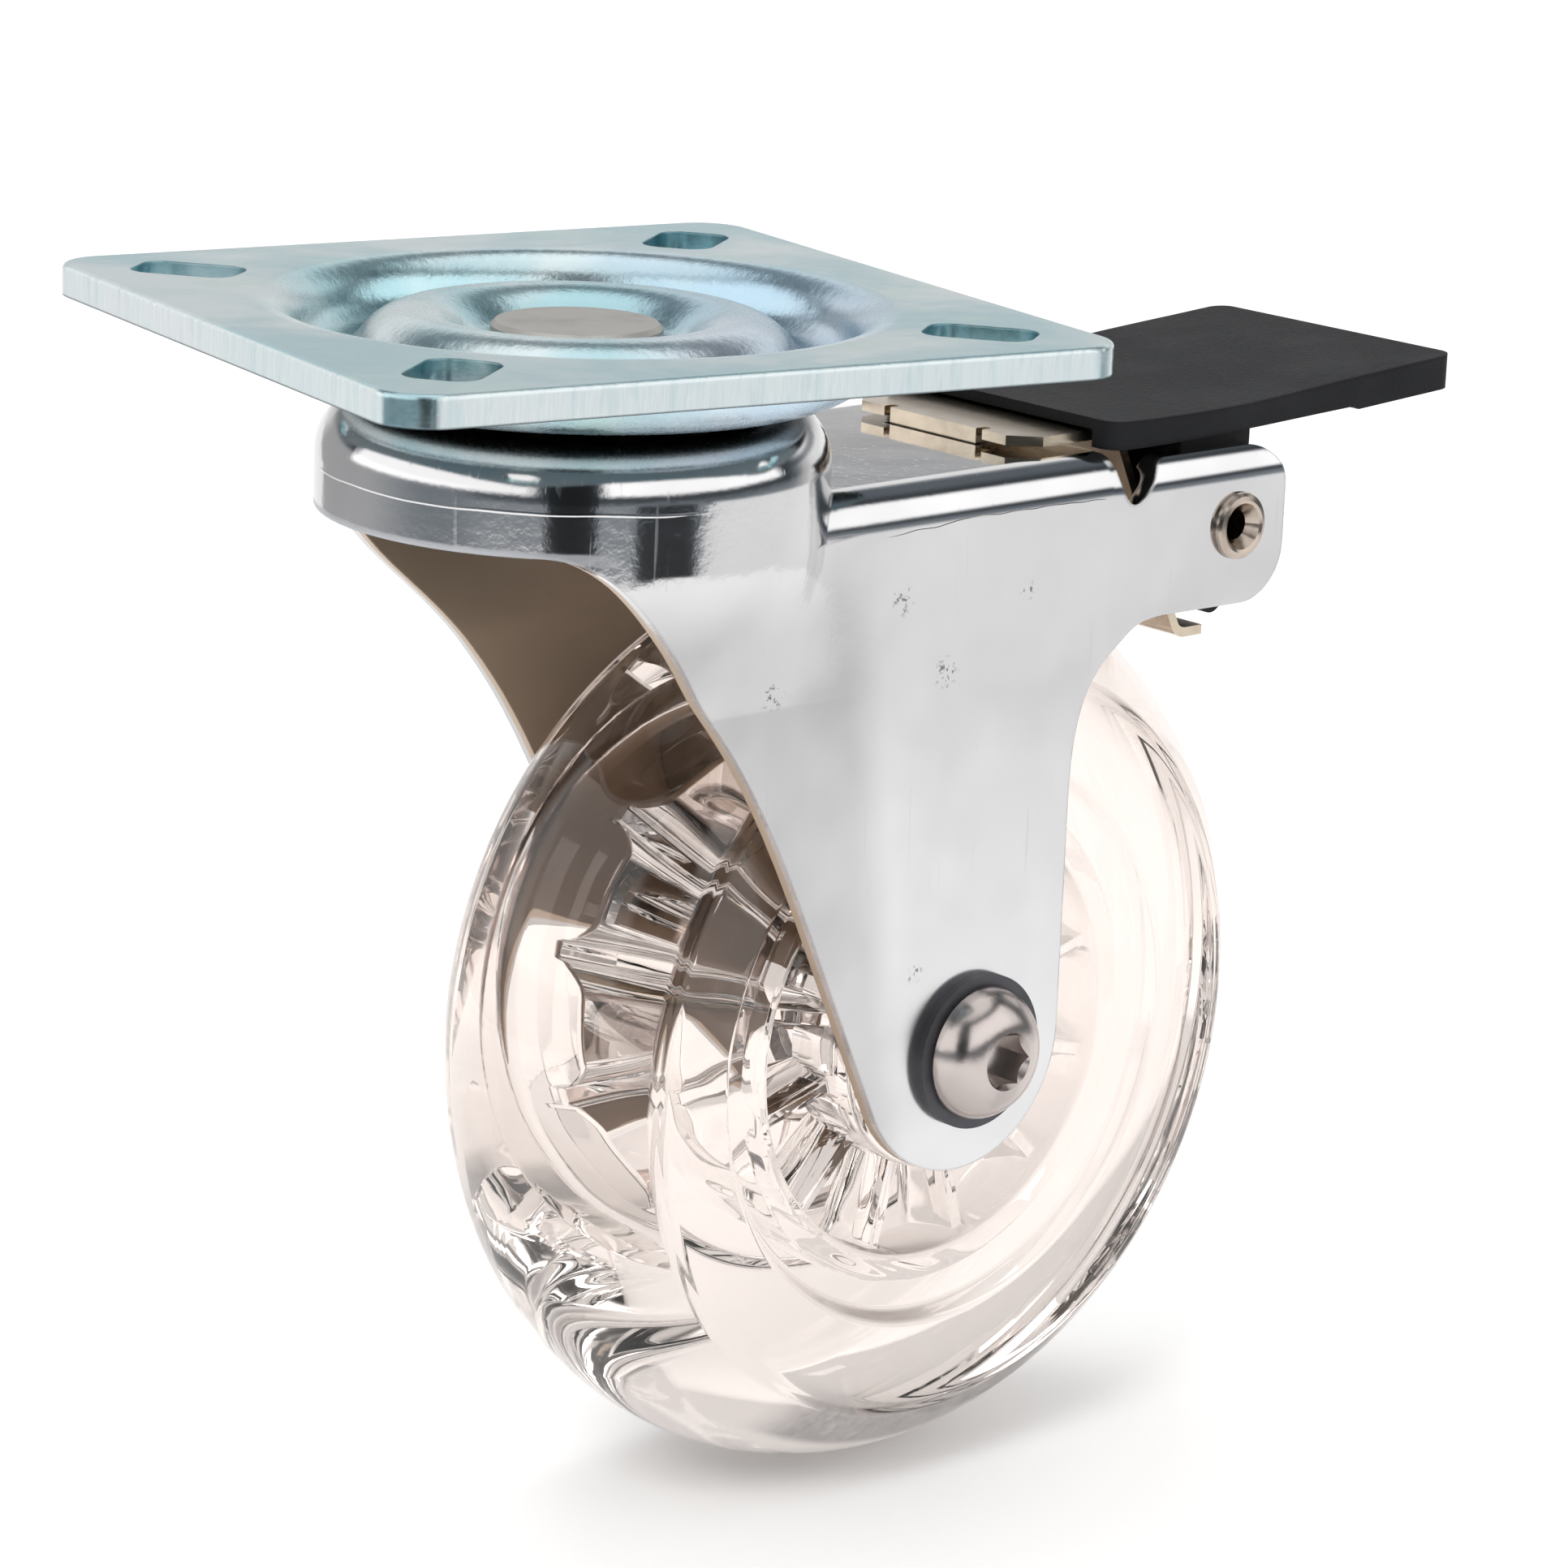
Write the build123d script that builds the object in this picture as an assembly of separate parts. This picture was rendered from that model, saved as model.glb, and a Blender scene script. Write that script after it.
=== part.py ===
"""Swivel castor with a square top plate, a clear skate-type wheel and a toe brake.

Millimetres.  The frame has its origin at the middle of the top plate's upper face, +Z up, X and Y
along the plate's edges.  The fork group is built along +X and then turned by the rest swivel angle.
"""
from build123d import *
import math
import os

os.makedirs("parts", exist_ok=True)

# Top plate: pressed steel
plate_side = 60.0
plate_thickness = 2.4
plate_corner_radius = 4.0
plate_edge_round = 0.4
slot_spacing = 43.6
slot_length = 8.4
slot_width = 5.8
slot_corner_radius = 1.9
dish_crest_z = -0.7
dish_crest_radius = 12.4
dish_crest_round = 4.8
dish_trough_round = 2.6
dish_shoulder_round = 3.2
dish_recess_round = 2.0
dish_trough_sink = 4.05
recess_depth = 3.0

# Swivel bearing
kingpin_head_radius = 6.5
kingpin_head_height = 1.44
kingpin_shank_radius = 4.2
kingpin_tail_radius = 6.0
kingpin_tail_height = 1.5
kingpin_gap = 0.8
crown_gap = 1.8
upper_ball_diameter = 4.3
upper_ball_circle = 12.5
upper_ball_count = 14
upper_groove_half = 2.1
lower_ball_diameter = 3.0
lower_ball_circle = 8.0
lower_ball_count = 12
ball_clearance = 0.05
race_thickness = 1.5

# Wheel
wheel_diameter = 75.0
wheel_width = 25.0
tread_half_width = 14.8
tread_depth = 15.0
face_ring_radius = 23.4
face_step = 1.5
core_radius = 20.5
core_rim = 2.4
core_tube_radius = 10.6
core_web = 2.2
core_rib = 1.4
core_rib_count = 12
bearing_bore = 6.0
bearing_outer = 15.0
bearing_width = 5.0
bearing_wall = 1.15
bearing_ball_count = 7
bearing_inset = 0.5

# Fork: one pressed steel sheet
sheet = 1.5
side_clearance = 1.0
cup_overhang = 4.5
cup_corner = 4.4
cup_depth = 8.4
web_drop = 6.8
bend_radius = 3.0
crown_blend = 12.5
axle_x = 30.3
axle_drop = 60.4
leg_end_radius = 10.3
leg_end_shift = 1.0
web_start_x = 4.0
web_end_x = 44.5
ear_offset = 0.8
rest_swivel = 10.8

# Axle bolt, nut and washers
bolt_diameter = 6.0
bolt_head_diameter = 10.9
bolt_head_height = 3.3
bolt_socket = 4.0
washer_thickness = 0.9
washer_diameter = 12.6
nut_width = 10.0
nut_height = 5.0

# Toe brake
pivot_setback = 26.19
pivot_tyre_gap = 9.98
pivot_drop = 20.8
ear_reach = 5.4
ear_below = 6.5
ear_above = 6.2
rivet_radius = 2.0
rivet_bore = 1.25
rivet_flange = 2.75
pivot_clearance = 0.08
pedal_half_width = 13.6
pedal_front = 12.5
pedal_back = 27.7
pedal_corner = 1.6
pedal_side_gap = 0.7
pedal_ear_gap = 0.6
pedal_post_flare = 1.5
deck_skin = 0.9
deck_rise = 1.85
rail_depth = 2.3
pedal_hub_radius = 4.1
cam_reach = 10.0
cam_round = 1.3
cam_half_width = 9.5
lever_sheet = 0.8
lever_lift = 0.5
lever_half_width = 10.5
lever_tab_half = 5.0
lever_front_x = 37.2
lever_gap = 0.25
lever_knee = 3.1
lever_knee_radius = 1.4
lever_foot_radius = 0.9
lever_foot_length = 2.85
lever_heel_offset = 0.75
lever_corner = 2.1
lever_tab_relief = 0.7
lever_tab_depth = 1.6
shoe_clearance = 1.6

# Values that follow from the ones above
inner_half = wheel_width / 2 + side_clearance
outer_half = inner_half + sheet
cup_radius = outer_half + cup_overhang
ear_outer = outer_half + ear_offset
ear_inner = ear_outer - sheet
axle_z = -axle_drop
wheel_radius = wheel_diameter / 2
bolt_radius = bolt_diameter / 2
pivot_z = -pivot_drop
tyre_reach = math.sqrt(max(0.0, (wheel_radius + pivot_tyre_gap) ** 2 - (axle_drop - pivot_drop) ** 2))
pivot_x = axle_x + max(pivot_setback, tyre_reach)
crown_top = -recess_depth - plate_thickness - crown_gap
cup_lip_z = crown_top - cup_depth
web_top = crown_top - web_drop
ear_top = pivot_z + ear_above
ear_bottom = pivot_z - ear_below
ear_right = pivot_x + ear_reach
bearing_out = wheel_width / 2 - bearing_inset
bearing_in = bearing_out - bearing_width
upper_ball_z = dish_crest_z - plate_thickness - upper_ball_diameter / 2 - ball_clearance
upper_groove_z = upper_ball_z - upper_ball_diameter / 2 - ball_clearance
lower_ball_z = crown_top - sheet - lower_ball_diameter / 2 - ball_clearance
lower_race_top = lower_ball_z - lower_ball_diameter / 2
lower_race_bottom = lower_race_top - race_thickness
through = 3 * plate_side


def save(shape, name):
    """Write one node's solid to its own STEP file."""
    export_step(shape, "parts/" + name + ".step")


def to_rest(shape):
    """Turn a fork-group solid from the build direction to the rest swivel angle."""
    return Rot(0, 0, rest_swivel) * shape


def on_axle(shape):
    """Carry a solid made about Z onto the axle line, local +Z becoming -Y."""
    return Pos(axle_x, 0, axle_z) * Rot(90, 0, 0) * shape


def ring(inner, outer, low, high):
    """A plain tube about Z between two heights."""
    tube = Cylinder(outer, high - low) - Cylinder(inner, high - low + 2)
    return Pos(0, 0, (low + high) / 2) * tube


def disc(radius, low, high):
    """A plain cylinder about Z between two heights."""
    return Pos(0, 0, (low + high) / 2) * Cylinder(radius, high - low)


def turned(points):
    """Revolve a closed outline of (radius, height) points about Z."""
    with BuildPart() as body:
        with BuildSketch(Plane.XZ):
            with BuildLine():
                Polyline(*points, close=True)
            make_face()
        revolve(axis=Axis.Z)
    return body.part


def ball_set(diameter, circle, count, height, start=0):
    """A row of equal balls on a circle about Z, the first one at a start angle."""
    balls = [Pos(*(Vector(circle, 0, height).rotate(Axis.Z, start + 360 * i / count))) * Sphere(diameter / 2)
             for i in range(count)]
    return Compound(children=balls)


# Pressed dish of the top plate: four tangent arcs, followed at a chosen depth below the upper face
crest_c = (dish_crest_radius, dish_crest_z - dish_crest_round)
trough_z = dish_crest_z - dish_crest_round + dish_trough_sink
trough_run = math.sqrt((dish_crest_round + dish_trough_round) ** 2 - dish_trough_sink ** 2)
trough_c = (dish_crest_radius + trough_run, trough_z)
shoulder_rise = trough_z + dish_shoulder_round
shoulder_run = math.sqrt((dish_shoulder_round + dish_trough_round) ** 2 - shoulder_rise ** 2)
shoulder_c = (trough_c[0] + shoulder_run, -dish_shoulder_round)
recess_c_z = -recess_depth + dish_recess_round
recess_rise = recess_c_z - crest_c[1]
recess_run = math.sqrt((dish_crest_round + dish_recess_round) ** 2 - recess_rise ** 2)
recess_c = (dish_crest_radius - recess_run, recess_c_z)


def heading(a, b):
    """Direction in degrees from point a to point b."""
    return math.degrees(math.atan2(b[1] - a[1], b[0] - a[0]))


def dish_edges(depth):
    """Edges of the dish outline from the recess to the rim, offset down by depth."""
    recess_r = dish_recess_round + depth
    crest_r = dish_crest_round - depth
    trough_r = dish_trough_round + depth
    shoulder_r = dish_shoulder_round - depth
    a1 = heading(recess_c, crest_c)
    a2 = heading(crest_c, trough_c)
    a3 = heading(trough_c, shoulder_c)
    rim = plate_side
    floor_z = recess_c[1] - recess_r
    top_z = shoulder_c[1] + shoulder_r
    edges = [Line((0, floor_z), (recess_c[0], floor_z))]
    edges.append(CenterArc(recess_c, recess_r, 270, a1 + 90))
    edges.append(CenterArc(crest_c, crest_r, a1 + 180, a2 - a1 - 180))
    edges.append(CenterArc(trough_c, trough_r, a2 + 180, a3 - a2 + 180))
    edges.append(CenterArc(shoulder_c, shoulder_r, a3 + 180, 90 - a3 - 180))
    edges.append(Line((shoulder_c[0], top_z), (rim, top_z)))
    return edges


def dish_region(depth, floor):
    """The solid of revolution under the dish line at a given depth, down to a floor height."""
    with BuildPart() as body:
        with BuildSketch(Plane.XZ):
            with BuildLine():
                for edge in dish_edges(depth):
                    add(edge)
                top_z = shoulder_c[1] + dish_shoulder_round - depth
                start_z = recess_c[1] - dish_recess_round - depth
                Polyline((plate_side, top_z), (plate_side, floor), (0, floor), (0, start_z))
            make_face()
        revolve(axis=Axis.Z)
    return body.part


def make_top_plate():
    """Pressed square plate with a dished ball race and four diagonal slots."""
    skin = dish_region(0, -20) - dish_region(plate_thickness, -21)
    blank = extrude(RectangleRounded(plate_side, plate_side, plate_corner_radius), -15)
    rim = Pos(0, 0, 1) * blank
    plate = skin & rim
    top_edges = plate.edges().filter_by(lambda e: abs(e.center().Z) < 1e-4)
    outer = top_edges.filter_by(lambda e: max(abs(e.center().X), abs(e.center().Y)) > plate_side / 2 - 2.5)
    plate = fillet(outer, plate_edge_round)
    half = slot_spacing / 2
    for sx in (-1, 1):
        for sy in (-1, 1):
            angle = math.degrees(math.atan2(sy, sx))
            outline = RectangleRounded(slot_length, slot_width, slot_corner_radius)
            cutter = extrude(outline, through, both=True)
            plate = plate - Pos(sx * half, sy * half, 0) * Rot(0, 0, angle) * cutter
    return plate - Cylinder(kingpin_shank_radius, through)


def make_kingpin():
    """Headed pin in the dish, its lower end spread under the lower race."""
    head_top = -recess_depth + kingpin_head_height
    rim = 0.35
    tail_top = lower_race_bottom
    tail_end = tail_top - kingpin_tail_height
    outline = [(0, head_top), (kingpin_head_radius - rim, head_top), (kingpin_head_radius, head_top - rim),
               (kingpin_head_radius, -recess_depth), (kingpin_shank_radius, -recess_depth),
               (kingpin_shank_radius, tail_top), (kingpin_tail_radius, tail_top),
               (kingpin_tail_radius - 0.3, tail_top - 0.8), (kingpin_tail_radius - 1.6, tail_end), (0, tail_end)]
    return turned(outline)


def make_lower_race():
    """Hardened washer with an upturned rim that carries the lower balls."""
    rim_r = lower_ball_circle + lower_ball_diameter / 2 + 0.9
    lip = lower_race_top + 1.0
    outline = [(kingpin_shank_radius, lower_race_bottom), (rim_r, lower_race_bottom), (rim_r, lip),
               (rim_r - 0.8, lip), (lower_ball_circle + 1.3, lower_race_top + 0.1),
               (lower_ball_circle + 0.6, lower_race_top - ball_clearance),
               (lower_ball_circle - 0.6, lower_race_top - ball_clearance),
               (lower_ball_circle - 1.3, lower_race_top + 0.1), (kingpin_shank_radius, lower_race_top + 0.1)]
    return turned(outline)


# Fork
def crown_region(inset, floor):
    """Solid of the crown cup inside the sheet's face at a given inset, down to a floor height."""
    radius = cup_radius - inset
    corner = cup_corner - inset
    top = crown_top - inset
    groove = upper_groove_z - inset
    half = upper_groove_half
    with BuildPart() as body:
        with BuildSketch(Plane.XZ):
            with BuildLine():
                Line((0, top), (upper_ball_circle - half, top))
                ThreePointArc((upper_ball_circle - half, top), (upper_ball_circle, groove),
                              (upper_ball_circle + half, top))
                Line((upper_ball_circle + half, top), (radius - corner, top))
                CenterArc((radius - corner, top - corner), corner, 90, -90)
                Polyline((radius, top - corner), (radius, floor), (0, floor), (0, top))
            make_face()
        revolve(axis=Axis.Z)
    return body.part


def circle_way(angle):
    """Direction of travel along a circle about Z at an angle in degrees."""
    return Vector(-math.sin(math.radians(angle)), math.cos(math.radians(angle)))


def section_wire(inset, blend, height):
    """Closed plan outline of crown, legs and ears at one height; blend 0 is round, 1 is flat sided."""
    radius = cup_radius - inset
    half = outer_half - inset
    ear = ear_outer - inset
    shoulder = half + 0.42 * (radius - half)
    first = 235.0
    last = 360 - math.degrees(math.asin(shoulder / radius))
    run_x = radius * math.cos(math.radians(last))
    straight = run_x + (shoulder - half) / math.tan(math.radians((last - 270) / 2))
    step = (last - first) / 5
    points = []
    for i in range(6):
        angle = math.radians(first + step * i)
        share = blend if i > 0 else 0
        depth = -radius * math.sin(angle) * (1 - share) + half * share
        points.append((radius * math.cos(angle), -depth))
    if blend == 0:
        sides = [CenterArc((0, 0), radius, first, step), CenterArc((0, 0), radius, first + step, 4 * step)]
    else:
        enter = circle_way(first) * (1 - blend) + Vector(1, 0.25) * blend
        middle = circle_way(first + step) * (1 - blend) + Vector(1, 0) * blend
        sides = [Spline(*points[:2], tangents=(enter, middle))]
        if blend < 1:
            leave = circle_way(last) * (1 - blend) + Vector(1, 0) * blend
            sides.append(Spline(*points[1:], tangents=(middle, leave)))
        else:
            sides.append(Line(points[1], points[-1]))
    if blend < 1:
        leave = circle_way(last) * (1 - blend) + Vector(1, 0) * blend
        sides.append(Spline(sides[-1] @ 1, (straight, -half), tangents=(leave, (1, 0))))
    else:
        sides.append(Line(points[-1], (straight, -half)))
    jog_a, jog_b, end = ear_stations()
    near = [CenterArc((0, 0), radius, 180, first - 180)] + sides
    near = near + [Line((straight, -half), (jog_a, -half)), Line((jog_a, -half), (jog_b, -ear)),
                   Line((jog_b, -ear), (end, -ear))]
    far = [edge.mirror(Plane.XZ) for edge in near]
    edges = near + [Line((end, -ear), (end, ear))] + far
    return Pos(0, 0, height) * Wire(edges)


def ear_stations():
    """X where the ear offset starts, where it ends, and where the raw outline closes."""
    return web_end_x - 1.5, web_end_x + 2.4, ear_right + 4


def tunnel_face(half, inset, x):
    """Cross-section of the web and its two rounded shoulders at one station along X."""
    radius = bend_radius - inset
    top = web_top - inset
    with BuildSketch(Plane.YZ.offset(x)) as face:
        with BuildLine():
            CenterArc((-half + radius, top - radius), radius, 180, -90)
            Line((-half + radius, top), (half - radius, top))
            CenterArc((half - radius, top - radius), radius, 90, -90)
            Line((half, top - radius), (-half, top - radius))
        make_face()
    return face.sketch.face()


def smooth(share):
    """Smooth step from 0 to 1."""
    share = min(1.0, max(0.0, share))
    return share * share * (3 - 2 * share)


def fork_region(inset, floor):
    """Everything inside the fork sheet's outer face, offset inward by inset."""
    joint_z = web_top - bend_radius
    flat_z = joint_z - crown_blend
    heights = [joint_z - crown_blend * i / 6 for i in range(7)]
    wires = [section_wire(inset, smooth((joint_z - z) / crown_blend), z) for z in heights]
    skirt = Solid.make_loft(wires)
    legs = extrude(Face(section_wire(inset, 1, flat_z)), floor - flat_z)
    jog_a, jog_b, end = ear_stations()
    front = tunnel_face(outer_half - inset, inset, web_start_x)
    middle = tunnel_face(outer_half - inset, inset, jog_a)
    back = tunnel_face(ear_outer - inset, inset, jog_b)
    channel = extrude(front, jog_a - web_start_x, dir=(1, 0, 0))
    channel = channel + Solid.make_loft([middle.outer_wire(), back.outer_wire()], True)
    channel = channel + extrude(back, end - jog_b, dir=(1, 0, 0))
    body = channel + crown_region(inset, joint_z)
    return body + skirt + legs


def side_point(across, down):
    """A point of the leg outline as shares of the axle offset and of the lip-to-axle drop."""
    return (axle_x * across, cup_lip_z + (axle_z - cup_lip_z) * down)


def side_face():
    """Side outline of the fork: lip, legs, ears and the relief notch between web and ear."""
    front = [side_point(a, d) for a, d in (
        (-0.4, 0.008), (-0.33, 0.036), (-0.261, 0.083), (-0.182, 0.141), (-0.079, 0.212),
        (0.031, 0.297), (0.139, 0.39), (0.251, 0.51), (0.345, 0.63))]
    shin = side_point(0.429, 0.75)
    lip = (-0.48 * axle_x, cup_lip_z)
    low = math.radians(205)
    mid_x = axle_x - leg_end_shift
    mid_z = axle_z + leg_end_shift / 2
    toe = (mid_x + leg_end_radius * math.cos(low), mid_z + leg_end_radius * math.sin(low))
    base = (mid_x, mid_z - leg_end_radius)
    heel = (mid_x + leg_end_radius, mid_z)
    rear = (heel[0], ear_bottom - 14.5)
    knee = (web_end_x + 4.0, ear_bottom + 0.1)
    bottom_r = 4.6
    top_r = 3.4
    ear_a = (ear_right - bottom_r, ear_bottom)
    ear_m = (ear_right - bottom_r * 0.293, ear_bottom + bottom_r * 0.293)
    ear_b = (ear_right, ear_bottom + bottom_r)
    ear_c = (ear_right, ear_top - top_r)
    ear_n = (ear_right - top_r * 0.293, ear_top - top_r * 0.293)
    ear_d = (ear_right - top_r, ear_top)
    crest = (web_end_x + 4.4, ear_top)
    notch = (web_end_x + 0.4, web_top - 3.9)
    brow = (web_end_x - 0.9, web_top - 0.4)
    with BuildSketch(Plane.XZ) as face:
        with BuildLine():
            Polyline((-2 * cup_radius, 5), (-2 * cup_radius, cup_lip_z), lip)
            Spline(lip, *front, shin)
            Line(shin, toe)
            ThreePointArc(toe, base, heel)
            Line(heel, rear)
            Spline(rear, (rear[0] + 0.5, ear_bottom - 8.3), (rear[0] + 1.9, ear_bottom - 4.7),
                   (rear[0] + 4.9, ear_bottom - 1.5), knee, tangents=((0, 1), (1, 0)))
            Line(knee, ear_a)
            ThreePointArc(ear_a, ear_m, ear_b)
            Line(ear_b, ear_c)
            ThreePointArc(ear_c, ear_n, ear_d)
            Line(ear_d, crest)
            Spline(crest, (notch[0] + 1.9, web_top - 2.2), notch, (brow[0] + 0.2, web_top - 2.4),
                   brow, tangents=((-1, 0), (0, 1)))
            Polyline(brow, (brow[0], 5), (-2 * cup_radius, 5))
        make_face()
    return face.sketch


def make_fork():
    """The fork pressed from one sheet: crown cup, web, two legs and two brake ears."""
    body = fork_region(0, axle_z - 12) - fork_region(sheet, axle_z - 13)
    body = body & extrude(side_face(), through, both=True)
    between = Pos(web_end_x + through / 2, 0, web_top) * Box(through, 2 * (ear_inner - 0.8 * sheet), 4 * sheet)
    body = body - between
    body = body - Cylinder(kingpin_shank_radius + kingpin_gap, through)
    axle_hole = Rot(90, 0, 0) * Cylinder(bolt_radius + 0.1, through)
    rivet_hole = Rot(90, 0, 0) * Cylinder(rivet_radius + 0.02, through)
    tab_x = lever_front_x + lever_sheet / 2
    slot = Pos(tab_x, 0, web_top) * Box(lever_sheet + lever_tab_relief, 2 * lever_tab_half + 0.8, 4 * sheet)
    body = body - Pos(axle_x, 0, axle_z) * axle_hole
    body = body - Pos(pivot_x, 0, pivot_z) * rivet_hole
    return body - slot


# Axle
def make_axle_bolt():
    """Button-head screw with a hexagon socket, head on the -Y side."""
    seat = outer_half + washer_thickness
    head_r = bolt_head_diameter / 2
    top = seat + bolt_head_height
    flat_r = 0.38 * head_r
    end = -(outer_half + washer_thickness + nut_height + 1.2)
    with BuildPart() as bolt:
        with BuildSketch(Plane.XZ):
            with BuildLine():
                Polyline((0, top), (0, end), (bolt_radius - 0.5, end), (bolt_radius, end + 0.5),
                         (bolt_radius, seat), (head_r - 0.15, seat), (head_r, seat + 0.35))
                ThreePointArc((head_r, seat + 0.35), (0.79 * head_r, seat + 0.7 * bolt_head_height), (flat_r, top))
                Line((flat_r, top), (0, top))
            make_face()
        revolve(axis=Axis.Z)
    socket = extrude(RegularPolygon(bolt_socket / 2, 6, major_radius=False), 2.2)
    taper = Pos(0, 0, top - 0.35) * Cone(bolt_socket / 2 * 0.95, bolt_socket / 2 * 1.2, 0.7)
    return bolt.part - Pos(0, 0, top - 2.1) * socket - taper


def make_nut():
    """Hexagon nut on the far side with a raised locking collar."""
    base = -(outer_half + washer_thickness)
    collar_h = 1.4
    hexagon = extrude(RegularPolygon(nut_width / 2, 6, major_radius=False), -(nut_height - collar_h))
    body = Pos(0, 0, base) * hexagon
    collar = disc(nut_width / 2 - 0.3, base - nut_height, base - nut_height + collar_h)
    bevel = turned([(0, base + 1), (nut_width, base + 1), (nut_width, base - nut_height + 0.2),
                    (nut_width / 2 + 0.25, base - nut_height + collar_h), (nut_width / 2 + 0.1, base - nut_height - 1),
                    (0, base - nut_height - 1)])
    return ((body & bevel) + collar) - Cylinder(bolt_radius, through)


# Wheel
def make_core():
    """Clear hub: bore tube, centre web, rim and radial ribs that make open cells."""
    rim_half = wheel_width / 2 - face_step
    rim_in = core_radius - core_rim
    core = ring(bearing_outer / 2, core_tube_radius, -bearing_out, bearing_out)
    core = core + ring(bearing_outer / 2 - 1.2, core_tube_radius - 0.5, -bearing_in, bearing_in)
    core = core + ring(core_tube_radius - 0.5, core_radius - 0.5, -core_web / 2, core_web / 2)
    core = core + ring(rim_in, core_radius, -rim_half, rim_half)
    rib_half = rim_half - 1.6
    rib_mid = (core_tube_radius + rim_in) / 2
    rib_len = rim_in - core_tube_radius + 1.0
    for i in range(core_rib_count):
        rib = Pos(rib_mid, 0, 0) * Box(rib_len, core_rib, 2 * rib_half)
        core = core + Rot(0, 0, 360 * (i + 0.5) / core_rib_count) * rib
    return core


def make_tyre():
    """Clear round-shouldered tyre moulded over the core."""
    half = wheel_width / 2
    rim_half = half - face_step
    centre = wheel_radius - tread_depth
    share = math.sqrt(1 - (half / tread_half_width) ** 2)
    flank = centre + tread_depth * share
    crown = []
    steps = 12
    limit = math.asin(half / tread_half_width)
    for i in range(2 * steps + 1):
        a = limit * (i / steps - 1)
        crown.append((centre + tread_depth * math.cos(a), tread_half_width * math.sin(a)))
    with BuildPart() as tyre:
        with BuildSketch(Plane.XZ):
            with BuildLine():
                Spline(*crown)
                Polyline(crown[-1], (flank - 0.6, half), (face_ring_radius, half), (face_ring_radius - 0.7, rim_half),
                         (core_radius, rim_half), (core_radius, -rim_half), (face_ring_radius - 0.7, -rim_half),
                         (face_ring_radius, -half), (flank - 0.6, -half), crown[0])
            make_face()
        revolve(axis=Axis.Z)
    return tyre.part


def bearing_parts(side):
    """Outer ring, inner ring, balls and shield of the bearing on one side (+1 local high, -1 low)."""
    low = bearing_in if side > 0 else -bearing_out
    high = low + bearing_width
    mid = (low + high) / 2
    outer_r = bearing_outer / 2
    inner_r = bearing_bore / 2
    ball_circle = (outer_r + inner_r) / 2
    ball_r = (outer_r - inner_r) / 2 - bearing_wall + 0.25
    groove = Torus(ball_circle, ball_r + 0.02)
    outer = ring(outer_r - bearing_wall, outer_r, low, high) - Pos(0, 0, mid) * groove
    inner = ring(inner_r, inner_r + bearing_wall, low, high) - Pos(0, 0, mid) * groove
    balls = ball_set(2 * ball_r, ball_circle, bearing_ball_count, mid, 17 if side > 0 else -8)
    face = high if side > 0 else low
    a, b = sorted((face - side * 0.25, face - side * 0.5))
    shield = ring(inner_r + bearing_wall + 0.15, outer_r - bearing_wall, a, b)
    return outer, inner, balls, shield


# Toe brake
def make_rivet():
    """Hollow rivet through both ears with a rolled flange at each end."""
    reach = ear_outer
    roll = 0.75
    half = [(rivet_bore, 0), (rivet_radius, 0), (rivet_radius, reach), (rivet_flange - 0.15, reach),
            (rivet_flange, reach + 0.2), (rivet_flange - 0.06, reach + 0.45), (rivet_flange - 0.28, reach + 0.66),
            (rivet_flange - 0.6, reach + roll), (rivet_flange - 0.85, reach + 0.62), (rivet_bore, reach - 0.35)]
    upper = turned(half)
    return upper + upper.mirror(Plane.XY)


def on_pivot(shape):
    """Carry a solid made about Z onto the brake pivot line."""
    return Pos(pivot_x, 0, pivot_z) * Rot(90, 0, 0) * shape


def profile_solid(points, half_width):
    """Extrude a closed side outline to both sides of the middle plane."""
    with BuildSketch(Plane.XZ) as face:
        with BuildLine():
            Polyline(*points, close=True)
        make_face()
    return extrude(face.sketch, half_width, both=True)


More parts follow.
